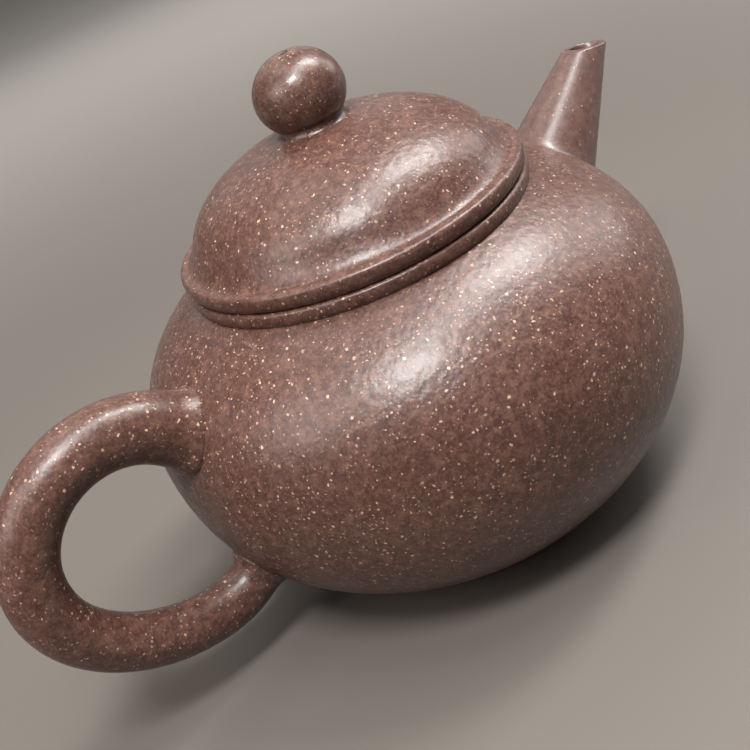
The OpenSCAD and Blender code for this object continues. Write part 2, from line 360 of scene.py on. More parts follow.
def clayMaterial(name, look):
    material = bpy.data.materials.new(name)
    material.use_nodes = True
    material.node_tree.nodes.clear()
    bench = Bench(material.node_tree)
    place = bench.add("ShaderNodeTexCoord", {}, {}, "Object")

    def noiseOf(kind, detail=2.0, rough=0.5, shift=(0, 0, 0), out="Fac"):
        return bench.add("ShaderNodeTexNoise", {}, {
            "Vector": bench.joined(place, shift), "Scale": 1 / claySizes[kind],
            "Detail": detail, "Roughness": rough}, out)

    stir = bench.apart(noiseOf("stir", 1.0, out="Color"), (0.5, 0.5, 0.5))
    stirred = bench.joined(place, bench.scaled(stir, claySizes["stir"]))   # so that no grain is a neat disc
    crowd = noiseOf("crowd", 2.0, 0.6, (0.7, 0.2, 0.4))

    def grains(kind, shift):  # how much of a grain is here, and that grain's own random tone
        cell, small, large = grainSizes[kind]
        cells = bench.add("ShaderNodeTexVoronoi", {"feature": "F1"},
                          {"Vector": bench.joined(stirred, shift), "Scale": 1 / cell})
        chance = bench.add("ShaderNodeSeparateColor", {}, {0: cells.other("Color")})
        size = small / cell + chance.other("Green") * ((large - small) / cell)
        there = chance < crowd * 1.6 * look[kind + "Share"]
        inside = (size - cells) / (claySizes["softEdge"] / cell)
        return inside.atLeast(0.0).atMost(1.0) * there, chance.other("Blue")

    tone = bench.between(noiseOf("tone", 2.0, 0.5), 0.35, 0.65)
    cloud = bench.between(noiseOf("cloud", 3.0, 0.6, (0.1, 0.5, 0.3)), 0.3, 0.7)
    base = bench.blend(tone, look["plum"], look["brown"])
    base = bench.blend(cloud * look["clouding"], base, look["grey"])
    grit = noiseOf("grit", 2.0, 0.7, (0.4, 0.9, 0.6))
    base = bench.blend(bench.between(grit, 0.35, 0.75) * look["grit"], base, look["sand"])
    mottle = noiseOf("mottle", 2.0, 0.6, (0.8, 0.3, 0.5))
    base = bench.blend(bench.between(mottle, 0.45, 0.75) * look["mottle"], base, look["sand"])
    base = bench.blend(bench.between(mottle, 0.50, 0.25) * look["mottle"], base, look["darkGrain"])

    dark = grains("dark", (0.5, 0.3, 0.2))[0]
    base = bench.blend(dark * 0.55, base, look["darkGrain"])
    fine, fineTone = grains("fine", (0.1, 0.7, 0.9))
    base = bench.blend(fine * (0.25 + 0.4 * fineTone), base, look["sand"])
    middle, middleTone = grains("middle", (0.4, 0.6, 0.3))
    middleColour = bench.blend(middleTone, look["sand"], look["pale"])
    base = bench.blend(middle * (0.25 + 0.50 * middleTone), base, middleColour)
    large, largeTone = grains("large", (0.8, 0.1, 0.6))
    largeColour = bench.blend(largeTone, look["gold"], look["pale"])
    base = bench.blend(large * (0.45 + 0.5 * largeTone), base, largeColour)
    pale = (middle * 0.5 + large).atMost(1.0)

    rough = look["roughness"] + (noiseOf("roughPatch", 3.0, 0.6, (0.9, 0.6, 0.1)) - 0.5) * look["roughDrift"]
    rough = (rough + (grit - 0.5) * 0.10 - pale * 0.05).atLeast(0.12).atMost(0.95)

    skin = noiseOf("skin", 1.0, 0.4, (0.3, 0.8, 0.7))
    pores = bench.between(noiseOf("pores", 1.0, 0.5, (0.6, 0.1, 0.9)), 0.60, 0.76)
    waves = noiseOf("waves", 1.0, 0.5, (0.2, 0.9, 0.4))
    relief = skin * look["skin"] + grit * look["grain"] + waves * look["waves"] \
        + pale * look["proud"] - pores * look["pores"]
    bump = bench.add("ShaderNodeBump", {}, {"Height": relief, "Distance": 1.0, "Strength": 1.0})

    shader = bench.add("ShaderNodeBsdfPrincipled", {}, {
        "Base Color": base, "Roughness": rough, "Normal": bump, "IOR": look["ior"],
        "Coat Weight": look["coat"], "Coat Roughness": look["coatRoughness"],
    })
    bench.add("ShaderNodeOutputMaterial", {}, {"Surface": shader})
    return material


clayLook = {
    "plum": (0.046, 0.0175, 0.0135, 1),
    "brown": (0.054, 0.0205, 0.0140, 1),
    "grey": (0.066, 0.032, 0.026, 1),
    "sand": (0.215, 0.110, 0.080, 1),
    "gold": (0.38, 0.22, 0.145, 1),
    "pale": (0.48, 0.34, 0.26, 1),
    "darkGrain": (0.020, 0.009, 0.007, 1),
    "clouding": 0.45,          # how strongly the grey clouds show
    "grit": 0.32,
    "mottle": 0.30,
    "darkShare": 0.50,         # the higher, the more of these grains there are
    "fineShare": 0.90,
    "middleShare": 0.85,
    "largeShare": 0.75,
    "roughness": 0.39,
    "roughDrift": 0.14,
    "skin": 0.095 * mm,        # from here on, heights of the relief
    "grain": 0.018 * mm,
    "waves": 0.04 * mm,
    "pores": 0.012 * mm,
    "proud": 0.008 * mm,       # the pale grains stand out
    "ior": 1.46,
    "coat": 0.12,
    "coatRoughness": 0.24,
}
lidLook = dict(clayLook, roughness=0.36, skin=0.085 * mm, coat=0.04, largeShare=0.55)
# the knob's base colours are a little darker than the belly's: painted shade on the knob's body
knobLook = dict(lidLook, roughness=0.33, skin=0.045 * mm, grain=0.012 * mm,
                largeShare=0.4, middleShare=0.7,
                plum=(0.044, 0.018, 0.014, 1), brown=(0.050, 0.021, 0.015, 1), grey=(0.062, 0.033, 0.027, 1))
# spout clay: lower roughness for the burnish, and a lighter, greyer base colour that is painted sheen
burnishedWithPaintedSheen = dict(clayLook, roughness=0.33,
                 skin=0.030 * mm, grain=0.006 * mm, waves=0.03 * mm, pores=0.008 * mm,
                 largeShare=0.10, middleShare=0.25, fineShare=0.6, grit=0.22, mottle=0.24,
                 plum=(0.078, 0.046, 0.041, 1), brown=(0.080, 0.047, 0.041, 1))

clay = clayMaterial("purpleClay", clayLook)
lidClay = clayMaterial("lidClay", lidLook)
knobClay = clayMaterial("knobClay", knobLook)
smoothClayPaintedSheen = clayMaterial("burnishedClayPaintedSheen", burnishedWithPaintedSheen)
print("clay mixed")


# ---- belly: wall, shoulder, base, foot ring and mouth ring ----

belly = {
    "widestAt": 28.5 * mm,
    "upperHalf": 26.4 * mm,    # half height that each curve would reach if it were closed
    "lowerHalf": 32.5 * mm,
    "upperFullness": 2.3,      # 2 is an ellipse
    "lowerFullness": 2.15,
    "wall": 3.0 * mm,
    "segments": 256,
    "step": 0.7 * mm,          # length of a straight piece in a long curve
    "shoulderStep": 0.3 * mm,  # length of a straight piece in the shoulder
    "wallHole": 10.6 * mm,     # diameter of the hole through the wall under the spout
    "mouthGap": 0.5 * mm,      # between the mouth's inside and the lid's flange
}
curveSamples = 800


def crossing(low, high, before):  # halves the span until it closes on the place where before() ends
    for i in range(50):
        middle = (low + high) / 2
        low, high = (middle, high) if before(middle) else (low, middle)
    return low


def bellyRadius(z, inset=0.0):
    upper = z >= belly["widestAt"]
    half = (belly["upperHalf"] if upper else belly["lowerHalf"]) - inset
    full = belly["upperFullness"] if upper else belly["lowerFullness"]
    share = min(1.0, abs(z - belly["widestAt"]) / half)
    return (bellyR - inset) * (1 - share ** full) ** (1 / full)


def wallCurve(inset, z1, z2, step=None):
    heights = [z1 + (z2 - z1) * i / curveSamples for i in range(curveSamples + 1)]
    return evenly([(bellyRadius(z, inset), z) for z in heights], step or belly["step"], True)


def heightAt(radius, inset=0.0):  # height at which the upper wall has this radius
    top = belly["widestAt"] + belly["upperHalf"] - inset
    return crossing(belly["widestAt"], top, lambda z: bellyRadius(z, inset) > radius)


def outsideBelly(point, inset=0.0):  # above 0 outside, in metres near the surface
    z = min(max(point.z, 0.0), belly["widestAt"] + belly["upperHalf"] - inset)
    return math.hypot(point.x, point.y) - bellyRadius(z, inset)


thick = belly["wall"]
mouthR = flangeR + belly["mouthGap"]
clayValues = {"Segments": belly["segments"], "Clay": clay}

wallLine = wallCurve(0, jointLow, jointHigh) + wallCurve(thick, jointHigh, jointLow)
wholeWall = madeBy(turned, "wholeWall", lineMesh("wallLine", tidy(wallLine), True), clayValues)

spout = {
    "angle": 41,               # degrees above level
    "root": (40.15 * mm, 0, 38.6 * mm),
    "length": 22.6 * mm,
    "rootR": 8.2 * mm,
    "tipR": 3.25 * mm,
    "channelRootR": 6.0 * mm,
    "channelTipR": 2.35 * mm,
    "lipSlope": 10,            # degrees, falling away from the pot
    "spread": 1.3 * mm,        # how far the smoothed clay runs out onto the belly
    "climb": 2.8 * mm,         # how far it runs up the spout
    "step": 0.10 * mm,         # its edge stands this proud
    "sink": 0.06 * mm,         # hidden edges lie this deep in the belly
    "lipCut": 0.42 * mm,       # how far from the lip's outer corner its rounding starts
    "innerLipCut": 0.40 * mm,
    "sides": 160,
    "drillLength": 20 * mm,
    "drillSides": 64,
}
spoutRoot = Vector(spout["root"])
lean = math.radians(spout["angle"])
spoutLine = Vector((math.cos(lean), 0, math.sin(lean)))
spoutUp = Vector((-math.sin(lean), 0, math.cos(lean)))
spoutSide = spoutLine.cross(spoutUp)


def piercedTree():  # cuts a round hole through a wall
    bench, given = newTree("pierced", [
        ("Hole radius", "Float", 5 * mm),
        ("Place", "Vector", (0, 0, 0)),
        ("Turn", "Vector", (0, 0, 0)),
        ("Clay", "Material", None),
    ])
    drill = bench.add("GeometryNodeMeshCylinder", {"fill_type": "NGON"},
                      {"Vertices": spout["drillSides"], "Radius": given["Hole radius"],
                       "Depth": spout["drillLength"]}, "Mesh")
    drill = bench.add("GeometryNodeTransform", {}, {"Geometry": drill, "Translation": given["Place"],
                                                    "Rotation": given["Turn"]})
    cut = bench.add("GeometryNodeMeshBoolean", {"operation": "DIFFERENCE", "solver": "EXACT"},
                    {"Mesh 1": given["Geometry"], "Mesh 2": drill})
    return inClay(bench, crispAbove(bench, cut, math.radians(hand["sharpAngle"])), given)


wall = madeBy(piercedTree(), "bellyWall", wholeWall.data, {
    "Hole radius": belly["wallHole"] / 2,
    "Place": tuple(spoutRoot),
    "Turn": (0, math.pi / 2 - lean, 0),
    "Clay": clay,
})
bpy.data.objects.remove(wholeWall)

shoulderLine = wallCurve(0, jointHigh, creaseZ, belly["shoulderStep"]) + [(mouthR, creaseZ)] \
    + wallCurve(thick, heightAt(mouthR, thick), jointHigh)
shoulder = madeBy(turned, "shoulder", lineMesh("shoulderLine", tidy(shoulderLine), True), clayValues)

base = {
    "footTop": 2.4 * mm,
    "floor": 5.6 * mm,
    "crown": 0.8 * mm,         # the middle stands this much higher
    "bendAt": 14 * mm,
    "underR": 23.6 * mm,       # radius of the domed part underneath
    "floorR": 24 * mm,         # and of the one inside
    "sideStep": 0.4 * mm,
    "step": 1 * mm,
}
footTop, floorZ, bendAt = base["footTop"], base["floor"], base["bendAt"]
underZ, crownedZ = footTop + base["crown"], floorZ + base["crown"]
underLine = bend((0, underZ), (bendAt, underZ), (base["underR"], footTop), 40)
insideLine = bend((base["floorR"], floorZ), (bendAt, crownedZ), (0, crownedZ), 40)
baseLine = evenly(underLine, base["step"]) \
    + wallCurve(0, footTop, jointLow, base["sideStep"]) \
    + wallCurve(thick, jointLow, floorZ, base["sideStep"]) \
    + evenly(insideLine, base["step"])
baseDisc = madeBy(turned, "baseDisc", lineMesh("baseLine", tidy(baseLine), False), clayValues)

foot = {
    "width": 2.6 * mm,
    "edge": 0.5 * mm,
    "tuck": 0.7 * mm,          # the foot's lower edge lies this far in
}
lowOut = footOut - foot["tuck"]
lowIn = lowOut - foot["width"]
footEdge = foot["edge"]
footSide = (lowOut + 0.05 * mm, footTop - 0.9 * mm)
footNeck = (lowOut + 0.15 * mm, footTop - 0.1 * mm)
footLine = [(lowIn + footEdge, 0)] \
    + bend((lowOut - footEdge, 0), (lowOut, 0), (lowOut, footEdge)) \
    + bend(footSide, footNeck, (footOut, footTop)) \
    + [(lowIn - 0.3 * mm, footTop)] \
    + bend((lowIn, footEdge), (lowIn, 0), (lowIn + footEdge, 0))
footRing = madeBy(turned, "footRing", lineMesh("footLine", tidy(footLine), True), clayValues)

mouth = {
    "edge": 0.7 * mm,
    "lean": 0.45 * mm,         # the ring's outer face leans out this much
    "step": 0.6 * mm,
}
mouthEdge = mouth["edge"]
mouthFoot = ringR - mouth["lean"]
mouthLine = evenly([(mouthR, creaseZ), (mouthFoot, creaseZ)], mouth["step"]) \
    + band(mouthFoot, ringR, creaseZ, seatZ, mouthEdge) \
    + evenly([(ringR - mouthEdge, seatZ), (mouthR + mouthEdge, seatZ)], mouth["step"]) \
    + bend((mouthR + mouthEdge, seatZ), (mouthR, seatZ), (mouthR, seatZ - mouthEdge))
mouthRing = madeBy(turned, "mouthRing", lineMesh("mouthLine", tidy(mouthLine), True), clayValues)
print("belly turned")


# ---- the belly as a solid, only to cut with ----

def bellyForm(name, inset, topZ):
    line = [(0, jointLow)] + wallCurve(inset, jointLow, topZ) + [(0, topZ)]
    return madeBy(turned, name, lineMesh(name + "Line", line, False),
                  {"Segments": belly["segments"], "Clay": clay, "Lumps": 0.0, "Dents": 0.0})


outerForm = bellyForm("outerForm", 0.04 * mm, creaseZ)   # just under the skin, so the handle's ends meet it
innerForm = bellyForm("innerForm", thick, jointHigh)


# ---- spout ----

def acrossBelly(start, direction, sunk=0.0):  # how far along a line leaves the belly
    return crossing(-16 * mm, 14 * mm, lambda d: outsideBelly(start + direction * d) < -sunk)


def ringAround(radiusAt, offset, sunk=0.0):  # where a cone, widened by offset, leaves the belly
    ring = []
    for i in range(spout["sides"]):
        turn = 2 * math.pi * i / spout["sides"]
        away = spoutUp * math.cos(turn) + spoutSide * math.sin(turn)
        taper = radiusAt(1.0) - radiusAt(0.0)
        start = spoutRoot + away * (radiusAt(0.0) + offset)
        direction = spoutLine + away * taper
        ring.append((start + direction * acrossBelly(start, direction, sunk), direction.normalized(), away))
    return ring


def spoutMesh():
    length = spout["length"]
    sink = spout["sink"]
    cut = spout["lipCut"]
    innerCut = spout["innerLipCut"]
    slope = math.radians(spout["lipSlope"])
    lipFace = Vector((math.sin(slope), 0, math.cos(slope)))
    lipAt = spoutRoot + spoutLine * length

    def outer(s):
        return spout["rootR"] + (spout["tipR"] - spout["rootR"]) * s / length

    def inner(s):
        return spout["channelRootR"] + (spout["channelTipR"] - spout["channelRootR"]) * s / length

    def toLip(point, direction):
        return point + direction * ((lipAt - point).dot(lipFace) / direction.dot(lipFace))

    def curved(a, b, c, t):
        return a * (1 - t) ** 2 + b * 2 * (1 - t) * t + c * t * t

    onWall = ringAround(outer, 0.0)
    spread = ringAround(outer, spout["spread"])
    sunken = ringAround(outer, spout["spread"] + 0.05 * mm, sink)
    channel = ringAround(inner, 0.0, sink)
    rows = []
    for i in range(spout["sides"]):
        a, direction = onWall[i][:2]
        rim0 = spread[i][0]
        out = Vector((rim0.x, rim0.y, (rim0.z - belly["widestAt"]) * 1.6)).normalized()
        foot0 = sunken[i][0]
        foot1 = rim0 + out * spout["step"]
        top = a + direction * spout["climb"]
        pull = a + out * spout["step"] * 0.5
        corner = toLip(a, direction)
        point, along = channel[i][:2]
        innerCorner = toLip(point, along)
        over = (innerCorner - corner).normalized()
        row = [foot0, foot0.lerp(foot1, 0.6)]
        row += [curved(foot1, pull, top, k / 12) for k in range(13)]
        last = corner - direction * cut
        row += [top.lerp(last, k / 30) for k in range(1, 31)]
        row += [curved(last, corner, corner + over * cut, k / 6) for k in range(1, 7)]
        first = innerCorner - over * innerCut
        down = innerCorner - along * innerCut * 2.2
        row += [curved(first, innerCorner, down, k / 6) for k in range(7)]
        row += [down.lerp(point, k / 20) for k in range(1, 21)]
        rows.append(row)
    for k in range(1, 6):  # back along the belly to the spread clay's edge
        def partWay(s, share=k / 6):
            return inner(s) + (outer(s) + spout["spread"] - inner(s)) * share

        for row, found in zip(rows, ringAround(partWay, 0.0, sink)):
            row.append(found[0])
    count, deep = len(rows), len(rows[0])
    vertices = [v for row in rows for v in row]
    faces = []
    for i in range(count):
        j = (i + 1) % count
        for k in range(deep):
            m = (k + 1) % deep
            faces.append((i * deep + k, j * deep + k, j * deep + m, i * deep + m))
    mesh = bpy.data.meshes.new("spoutShape")
    mesh.from_pydata(vertices, [], faces)
    return mesh


spoutPiece = madeBy(shaped, "spoutCone", spoutMesh(), {"Clay": smoothClayPaintedSheen})
print("spout set on")


# ---- strainer: a pierced half ball inside the wall ----

strainer = {
    "ballR": 7.5 * mm,
    "thick": 1.5 * mm,
    "holeR": 0.85 * mm,
    "rings": ((0, 1), (30, 6), (60, 12)),   # tilt in degrees, holes in the ring
    "back": 2.4 * mm,          # the ball's middle lies this far behind the spout's root
    "tilt": 26,                # degrees
    "segments": 96,
    "drillSides": 24,
}


def strainerTree():
    bench, given = newTree("strainer", [
        ("Ball radius", "Float", strainer["ballR"]),
        ("Thickness", "Float", strainer["thick"]),
        ("Hole radius", "Float", strainer["holeR"]),
        ("Place", "Vector", (0, 0, 0)),
        ("Turn", "Vector", (0, 0, 0)),
        ("Inside of belly", "Object", None),
    ] + handInputs)

    def ball(radius):
        return bench.add("GeometryNodeMeshUVSphere", {}, {
            "Segments": strainer["segments"], "Rings": strainer["segments"] // 2, "Radius": radius}, "Mesh")

    outerBall = ball(given["Ball radius"])
    innerBall = ball(given["Ball radius"] - given["Thickness"])
    drill = bench.add("GeometryNodeMeshCylinder", {"fill_type": "NGON"},
                      {"Vertices": strainer["drillSides"], "Radius": given["Hole radius"],
                       "Depth": given["Ball radius"]}, "Mesh")
    drills = []
    for tilt, count in strainer["rings"]:
        angle = math.radians(tilt)
        if count == 1:
            points = bench.add("GeometryNodePoints", {}, {"Count": 1, "Position": (0, 0, 1)})
        else:
            circle = bench.add("GeometryNodeMeshCircle", {}, {"Vertices": count, "Radius": math.sin(angle)})
            points = bench.add("GeometryNodeTransform", {}, {"Geometry": circle,
                                                             "Translation": (0, 0, math.cos(angle))})
        aim = bench.add("FunctionNodeAlignRotationToVector", {"axis": "Z"},
                        {"Vector": bench.add("GeometryNodeInputPosition")})
        placed = bench.add("GeometryNodeSetPosition", {}, {
            "Geometry": points,
            "Position": bench.scaled(bench.add("GeometryNodeInputPosition"), given["Ball radius"])})
        drills.append(bench.add("GeometryNodeInstanceOnPoints", {},
                                {"Points": placed, "Instance": drill, "Rotation": aim}))
    pattern = bench.add("GeometryNodeRealizeInstances", {},
                        {"Geometry": bench.add("GeometryNodeJoinGeometry", {}, {"Geometry": drills})})
    shell = bench.add("GeometryNodeMeshBoolean", {"operation": "DIFFERENCE", "solver": "EXACT"},
                      {"Mesh 1": outerBall, "Mesh 2": [innerBall, pattern]})
    turnedIn = bench.add("GeometryNodeTransform", {}, {"Geometry": shell, "Translation": given["Place"],
                                                       "Rotation": given["Turn"]})
    inside = bench.add("GeometryNodeObjectInfo", {"transform_space": "ORIGINAL"},
                       {"Object": given["Inside of belly"]}, "Geometry")
    cut = bench.add("GeometryNodeMeshBoolean", {"operation": "INTERSECT", "solver": "EXACT"},
                    {"Mesh 2": [turnedIn, inside]})
    return ended(bench, cut, given)


empty = bpy.data.meshes.new("nothing")
strainerPiece = madeBy(strainerTree(), "strainerBall", empty, {
    "Ball radius": strainer["ballR"],
    "Thickness": strainer["thick"],
    "Hole radius": strainer["holeR"],
    "Place": tuple(spoutRoot - spoutLine * strainer["back"]),
    "Turn": (0, -math.radians(90 + strainer["tilt"]), 0),
    "Inside of belly": innerForm,
    "Clay": clay,
})
print("strainer pierced")


# ---- handle: a tapering coil bent into an ear ----

handle = {
    "backR": 4.35 * mm,
    "lowR": 3.8 * mm,
    "topR": 5.6 * mm,
    "upper": ((-38.4, 39.7), (-48.7, 54.2), (-67.6, 47.1), (-67.6, 32.2)),   # mm, points that steer the coil
    "lower": ((-67.6, 32.2), (-67.6, 17.9), (-46.5, 7.5), (-38.6, 15.2)),
    "runIn": 5 * mm,           # how far each end runs on into the belly before it is cut
    "rings": 90,               # in each half
    "sides": 56,
    "flare": 0.95 * mm,        # where the coil is pressed onto the belly
    "flareLength": 3.0 * mm,
}


def steer(points, t):
    a, b, c, d = (Vector((x, 0, z)) * mm for x, z in points)
    return a * (1 - t) ** 3 + b * 3 * (1 - t) ** 2 * t + c * 3 * (1 - t) * t * t + d * t ** 3


def handleThickness(s):
    backR, lowR, topR = handle["backR"], handle["lowR"], handle["topR"]
    drop = backR - lowR
    return backR - drop * (2 * s - 1) * (0.4 if s < 0.5 else 1) + (topR - backR - 0.4 * drop) * (1 - s) ** 8


def handlePath():
    count = handle["rings"]
    line = [steer(handle["upper"], i / count) for i in range(count + 1)] \
        + [steer(handle["lower"], i / count) for i in range(1, count + 1)]
    last = len(line) - 1
    first = line[0] - (line[1] - line[0]).normalized() * handle["runIn"]
    final = line[-1] + (line[-1] - line[-2]).normalized() * handle["runIn"]
    mesh = bpy.data.meshes.new("handlePath")
    points = [first] + line + [final]
    mesh.from_pydata(points, [(i, i + 1) for i in range(len(points) - 1)], [])
    thickness = mesh.attributes.new("thickness", "FLOAT", "POINT")
    for i in range(len(points)):
        thickness.data[i].value = handleThickness(min(1, max(0, (i - 1) / last)))
    return mesh


def handleTree():
    bench, given = newTree("handleCoil", [
        ("Sides", "Int", handle["sides"]),
        ("Flare", "Float", handle["flare"]),
        ("Flare length", "Float", handle["flareLength"]),
        ("Belly", "Object", None),
    ] + handInputs)
    line = bench.add("GeometryNodeMeshToCurve", {}, {"Mesh": given["Geometry"]})
    ring = bench.add("GeometryNodeCurvePrimitiveCircle", {"mode": "RADIUS"},
                     {"Resolution": given["Sides"], "Radius": 1.0})
    thickness = bench.add("GeometryNodeInputNamedAttribute", {"data_type": "FLOAT"}, {"Name": "thickness"})
    tube = bench.add("GeometryNodeCurveToMesh", {}, {"Curve": line, "Profile Curve": ring,
                                                     "Scale": thickness, "Fill Caps": True})
    form = bench.add("GeometryNodeObjectInfo", {"transform_space": "ORIGINAL"},
                     {"Object": given["Belly"]}, "Geometry")
    gap = bench.add("GeometryNodeProximity", {"target_element": "FACES"}, {"Target": form}, "Distance")
    near = (1 - gap / given["Flare length"]).atLeast(0.0)
    pressed = bench.scaled(bench.add("GeometryNodeInputNormal"), near * near * given["Flare"])
    tube = bench.add("GeometryNodeSetPosition", {}, {"Geometry": tube, "Offset": pressed})
    cut = bench.add("GeometryNodeMeshBoolean", {"operation": "DIFFERENCE", "solver": "EXACT"},
                    {"Mesh 1": tube, "Mesh 2": form})
    return ended(bench, cut, given)


handlePiece = madeBy(handleTree(), "handleCoil", handlePath(), {
    "Sides": handle["sides"],
    "Flare": handle["flare"],
    "Flare length": handle["flareLength"],
    "Belly": outerForm,
    "Clay": clay,
})
print("handle pulled")


# ---- lid: dome, rim, flange and knob ----

lid = {
    "rimHeight": 2.7 * mm,
    "rimEdge": 0.9 * mm,
    "rimLean": 0.8 * mm,
    "flareAside": 1.3 * mm,    # how far inside the rim's edge the flare ends
    "domeR": 24.3 * mm,
    "domeHeight": 12.7 * mm,
    "thick": 2.7 * mm,
    "flareStart": 15,          # degrees up the dome's curve
    "flangeThick": 2.3 * mm,
    "flangeEdge": 0.6 * mm,
    "ventR": 0.7 * mm,
    "domeSunk": 0.35 * mm,     # the dome starts this far below the rim's top
    "flareStep": 0.25 * mm,
    "topStep": 0.5 * mm,
    "insideStep": 0.7 * mm,
}
fineSteps = 200
lidValues = {"Segments": belly["segments"], "Clay": lidClay}
flangeIn = flangeR - lid["flangeThick"]
rimTop = lidZ + lid["rimHeight"]
domeZ = rimTop - lid["domeSunk"]
flareR = rimR - lid["flareAside"]
ventR = lid["ventR"]


def domePoint(degrees):
    turn = math.radians(degrees)
    return lid["domeR"] * math.cos(turn), domeZ + lid["domeHeight"] * math.sin(turn)


def domeHeightAt(radius):
    share = radius / lid["domeR"]
    return domeZ + lid["domeHeight"] * math.sqrt(max(0.0, 1 - share * share))


start = lid["flareStart"]
turnR, turnZ = domePoint(start)
steep = lid["domeHeight"] * math.cos(math.radians(start)) / (lid["domeR"] * math.sin(math.radians(start)))
flare = bend((turnR, turnZ), (turnR + (turnZ - rimTop) / steep, rimTop), (flareR, rimTop), fineSteps)
flareLine = evenly(flare, lid["flareStep"], True)
topAngle = math.degrees(math.acos(ventR / lid["domeR"]))
domeTop = evenly([domePoint(start + (topAngle - start) * i / fineSteps) for i in range(fineSteps + 1)],
                 lid["topStep"])
insideHeight = lid["domeHeight"] - lid["thick"]
insideAngles = [math.acos(ventR / flangeIn) * (1 - i / fineSteps) for i in range(fineSteps + 1)]
domeInside = evenly([(flangeIn * math.cos(a), domeZ + insideHeight * math.sin(a)) for a in insideAngles],
                    lid["insideStep"])
domeLine = [(flareR, domeZ)] + flareLine[::-1] + domeTop[1:] + domeInside
dome = madeBy(turned, "lidDome", lineMesh("domeLine", tidy(domeLine), True), lidValues)

rimLine = [(flangeIn, lidZ)] \
    + band(rimR - lid["rimLean"], rimR, lidZ, rimTop, lid["rimEdge"]) \
    + [(flareR + 0.02 * mm, rimTop), (flareR, rimTop), (flareR, domeZ), (flangeIn, domeZ)]
rim = madeBy(turned, "lidRim", lineMesh("rimLine", tidy(rimLine), True), lidValues)

lipEdge = lid["flangeEdge"]
flangeLine = [(flangeR, lidZ), (flangeIn, lidZ)] \
    + bend((flangeIn, flangeLowZ + lipEdge), (flangeIn, flangeLowZ), (flangeIn + lipEdge, flangeLowZ)) \
    + bend((flangeR - lipEdge, flangeLowZ), (flangeR, flangeLowZ), (flangeR, flangeLowZ + lipEdge))
flange = madeBy(turned, "lidFlange", lineMesh("flangeLine", tidy(flangeLine), True), lidValues)

knob = {
    "ballR": 6.8 * mm,
    "halfHeight": 6.0 * mm,
    "sunk": 1.3 * mm,          # how far the ball's underside would reach into the dome
    "neckR": 5.1 * mm,
    "flatAbove": 70,           # degrees up the ball where the crown flattens
    "spread": 0.7 * mm,        # the neck widens this much onto the dome
    "crown": 0.14 * mm,        # the crown's own height
    "ventEdge": 0.3 * mm,
    "step": 0.35 * mm,
    "segments": 128,
}
ballR, halfH, neckR = knob["ballR"], knob["halfHeight"], knob["neckR"]
knobZ = domeZ + lid["domeHeight"] + halfH - knob["sunk"]
neckTurn = math.acos(neckR / ballR)
footR = neckR + knob["spread"]
footZ = domeHeightAt(footR)
flatTurn = math.radians(knob["flatAbove"])
ballSide = [(ballR * math.cos(t), knobZ + halfH * math.sin(t))
            for t in (-neckTurn + (flatTurn + neckTurn) * i / fineSteps for i in range(fineSteps + 1))]
crownR, crownZ = ballSide[-1]
crownTop = crownZ + knob["crown"]
crownIn = (ventR + knob["ventEdge"], crownTop - 0.02 * mm)
neckFoot = (neckR + 0.05 * mm, footZ + 0.25 * mm)
neckTop = (neckR, knobZ - halfH * math.sin(neckTurn))
knobLine = [(ventR, domeHeightAt(ventR))] \
    + [(r, domeHeightAt(r)) for r in (ventR + (footR - ventR) * i / 8 for i in range(1, 9))] \
    + bend((footR, footZ), neckFoot, neckTop, 10)[1:] \
    + evenly(ballSide, knob["step"])[1:] \
    + bend((crownR, crownZ), (crownR * 0.72, crownTop), crownIn, 6)[1:] \
    + bend(crownIn, (ventR, crownTop - 0.03 * mm), (ventR, crownTop - 0.4 * mm), 5)[1:]
knobPiece = madeBy(turned, "knobBall", lineMesh("knobLine", tidy(knobLine), True),
                   {"Segments": knob["segments"], "Clay": knobClay})
print("lid closed")

for form in (outerForm, innerForm):
    bpy.data.objects.remove(form)


# ---- each piece takes its node's place ----

pieces = (
    (wall, "body_wall", "pot"),
    (shoulder, "shoulder_disc", "pot"),
    (baseDisc, "base_disc", "pot"),
    (footRing, "foot_ring", "pot"),
    (mouthRing, "mouth_ring", "pot"),
    (spoutPiece, "spout", "pot"),
    (strainerPiece, "strainer", "pot"),
    (handlePiece, "handle", "pot"),
    (dome, "lid_dome", "lid"),
    (rim, "lid_rim", "lid"),
    (flange, "lid_flange", "lid"),
    (knobPiece, "knob", "lid"),
)
for piece, node, body in pieces:
    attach(piece, body)
    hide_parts(node)
    low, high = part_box(node)
    corners = [v.co for v in piece.data.vertices]
    lowest = [min(c[k] for c in corners) for k in range(3)]
    highest = [max(c[k] for c in corners) for k in range(3)]
    print(piece.name, len(piece.data.polygons), "faces, off by",
          [round((a - b) / mm, 2) for a, b in zip(lowest, low)],
          [round((a - b) / mm, 2) for a, b in zip(highest, high)])


# ---- floor, lights and camera ----

studio = {
    "floorSize": 12.0,
    "nearFloorPaintedShade": (0.102, 0.089, 0.078, 1),
    "floorRoughness": 0.62,
    "driftScale": 9.0,
    "driftShade": 0.94,        # brightness of the floor's faint patches beside the rest
    "air": (0.86, 0.85, 0.83, 1),
    "airStrength": 0.24,
    "farColour": (0.42, 0.395, 0.37, 1),
    "paleFrom": 0.14,          # distance from the pot at which the floor starts to turn paler; nearer in, the darker floor is painted shade round the pot
    "paleBy": 0.80,
    "lightsAimAt": (0, 0, 0.035),
}


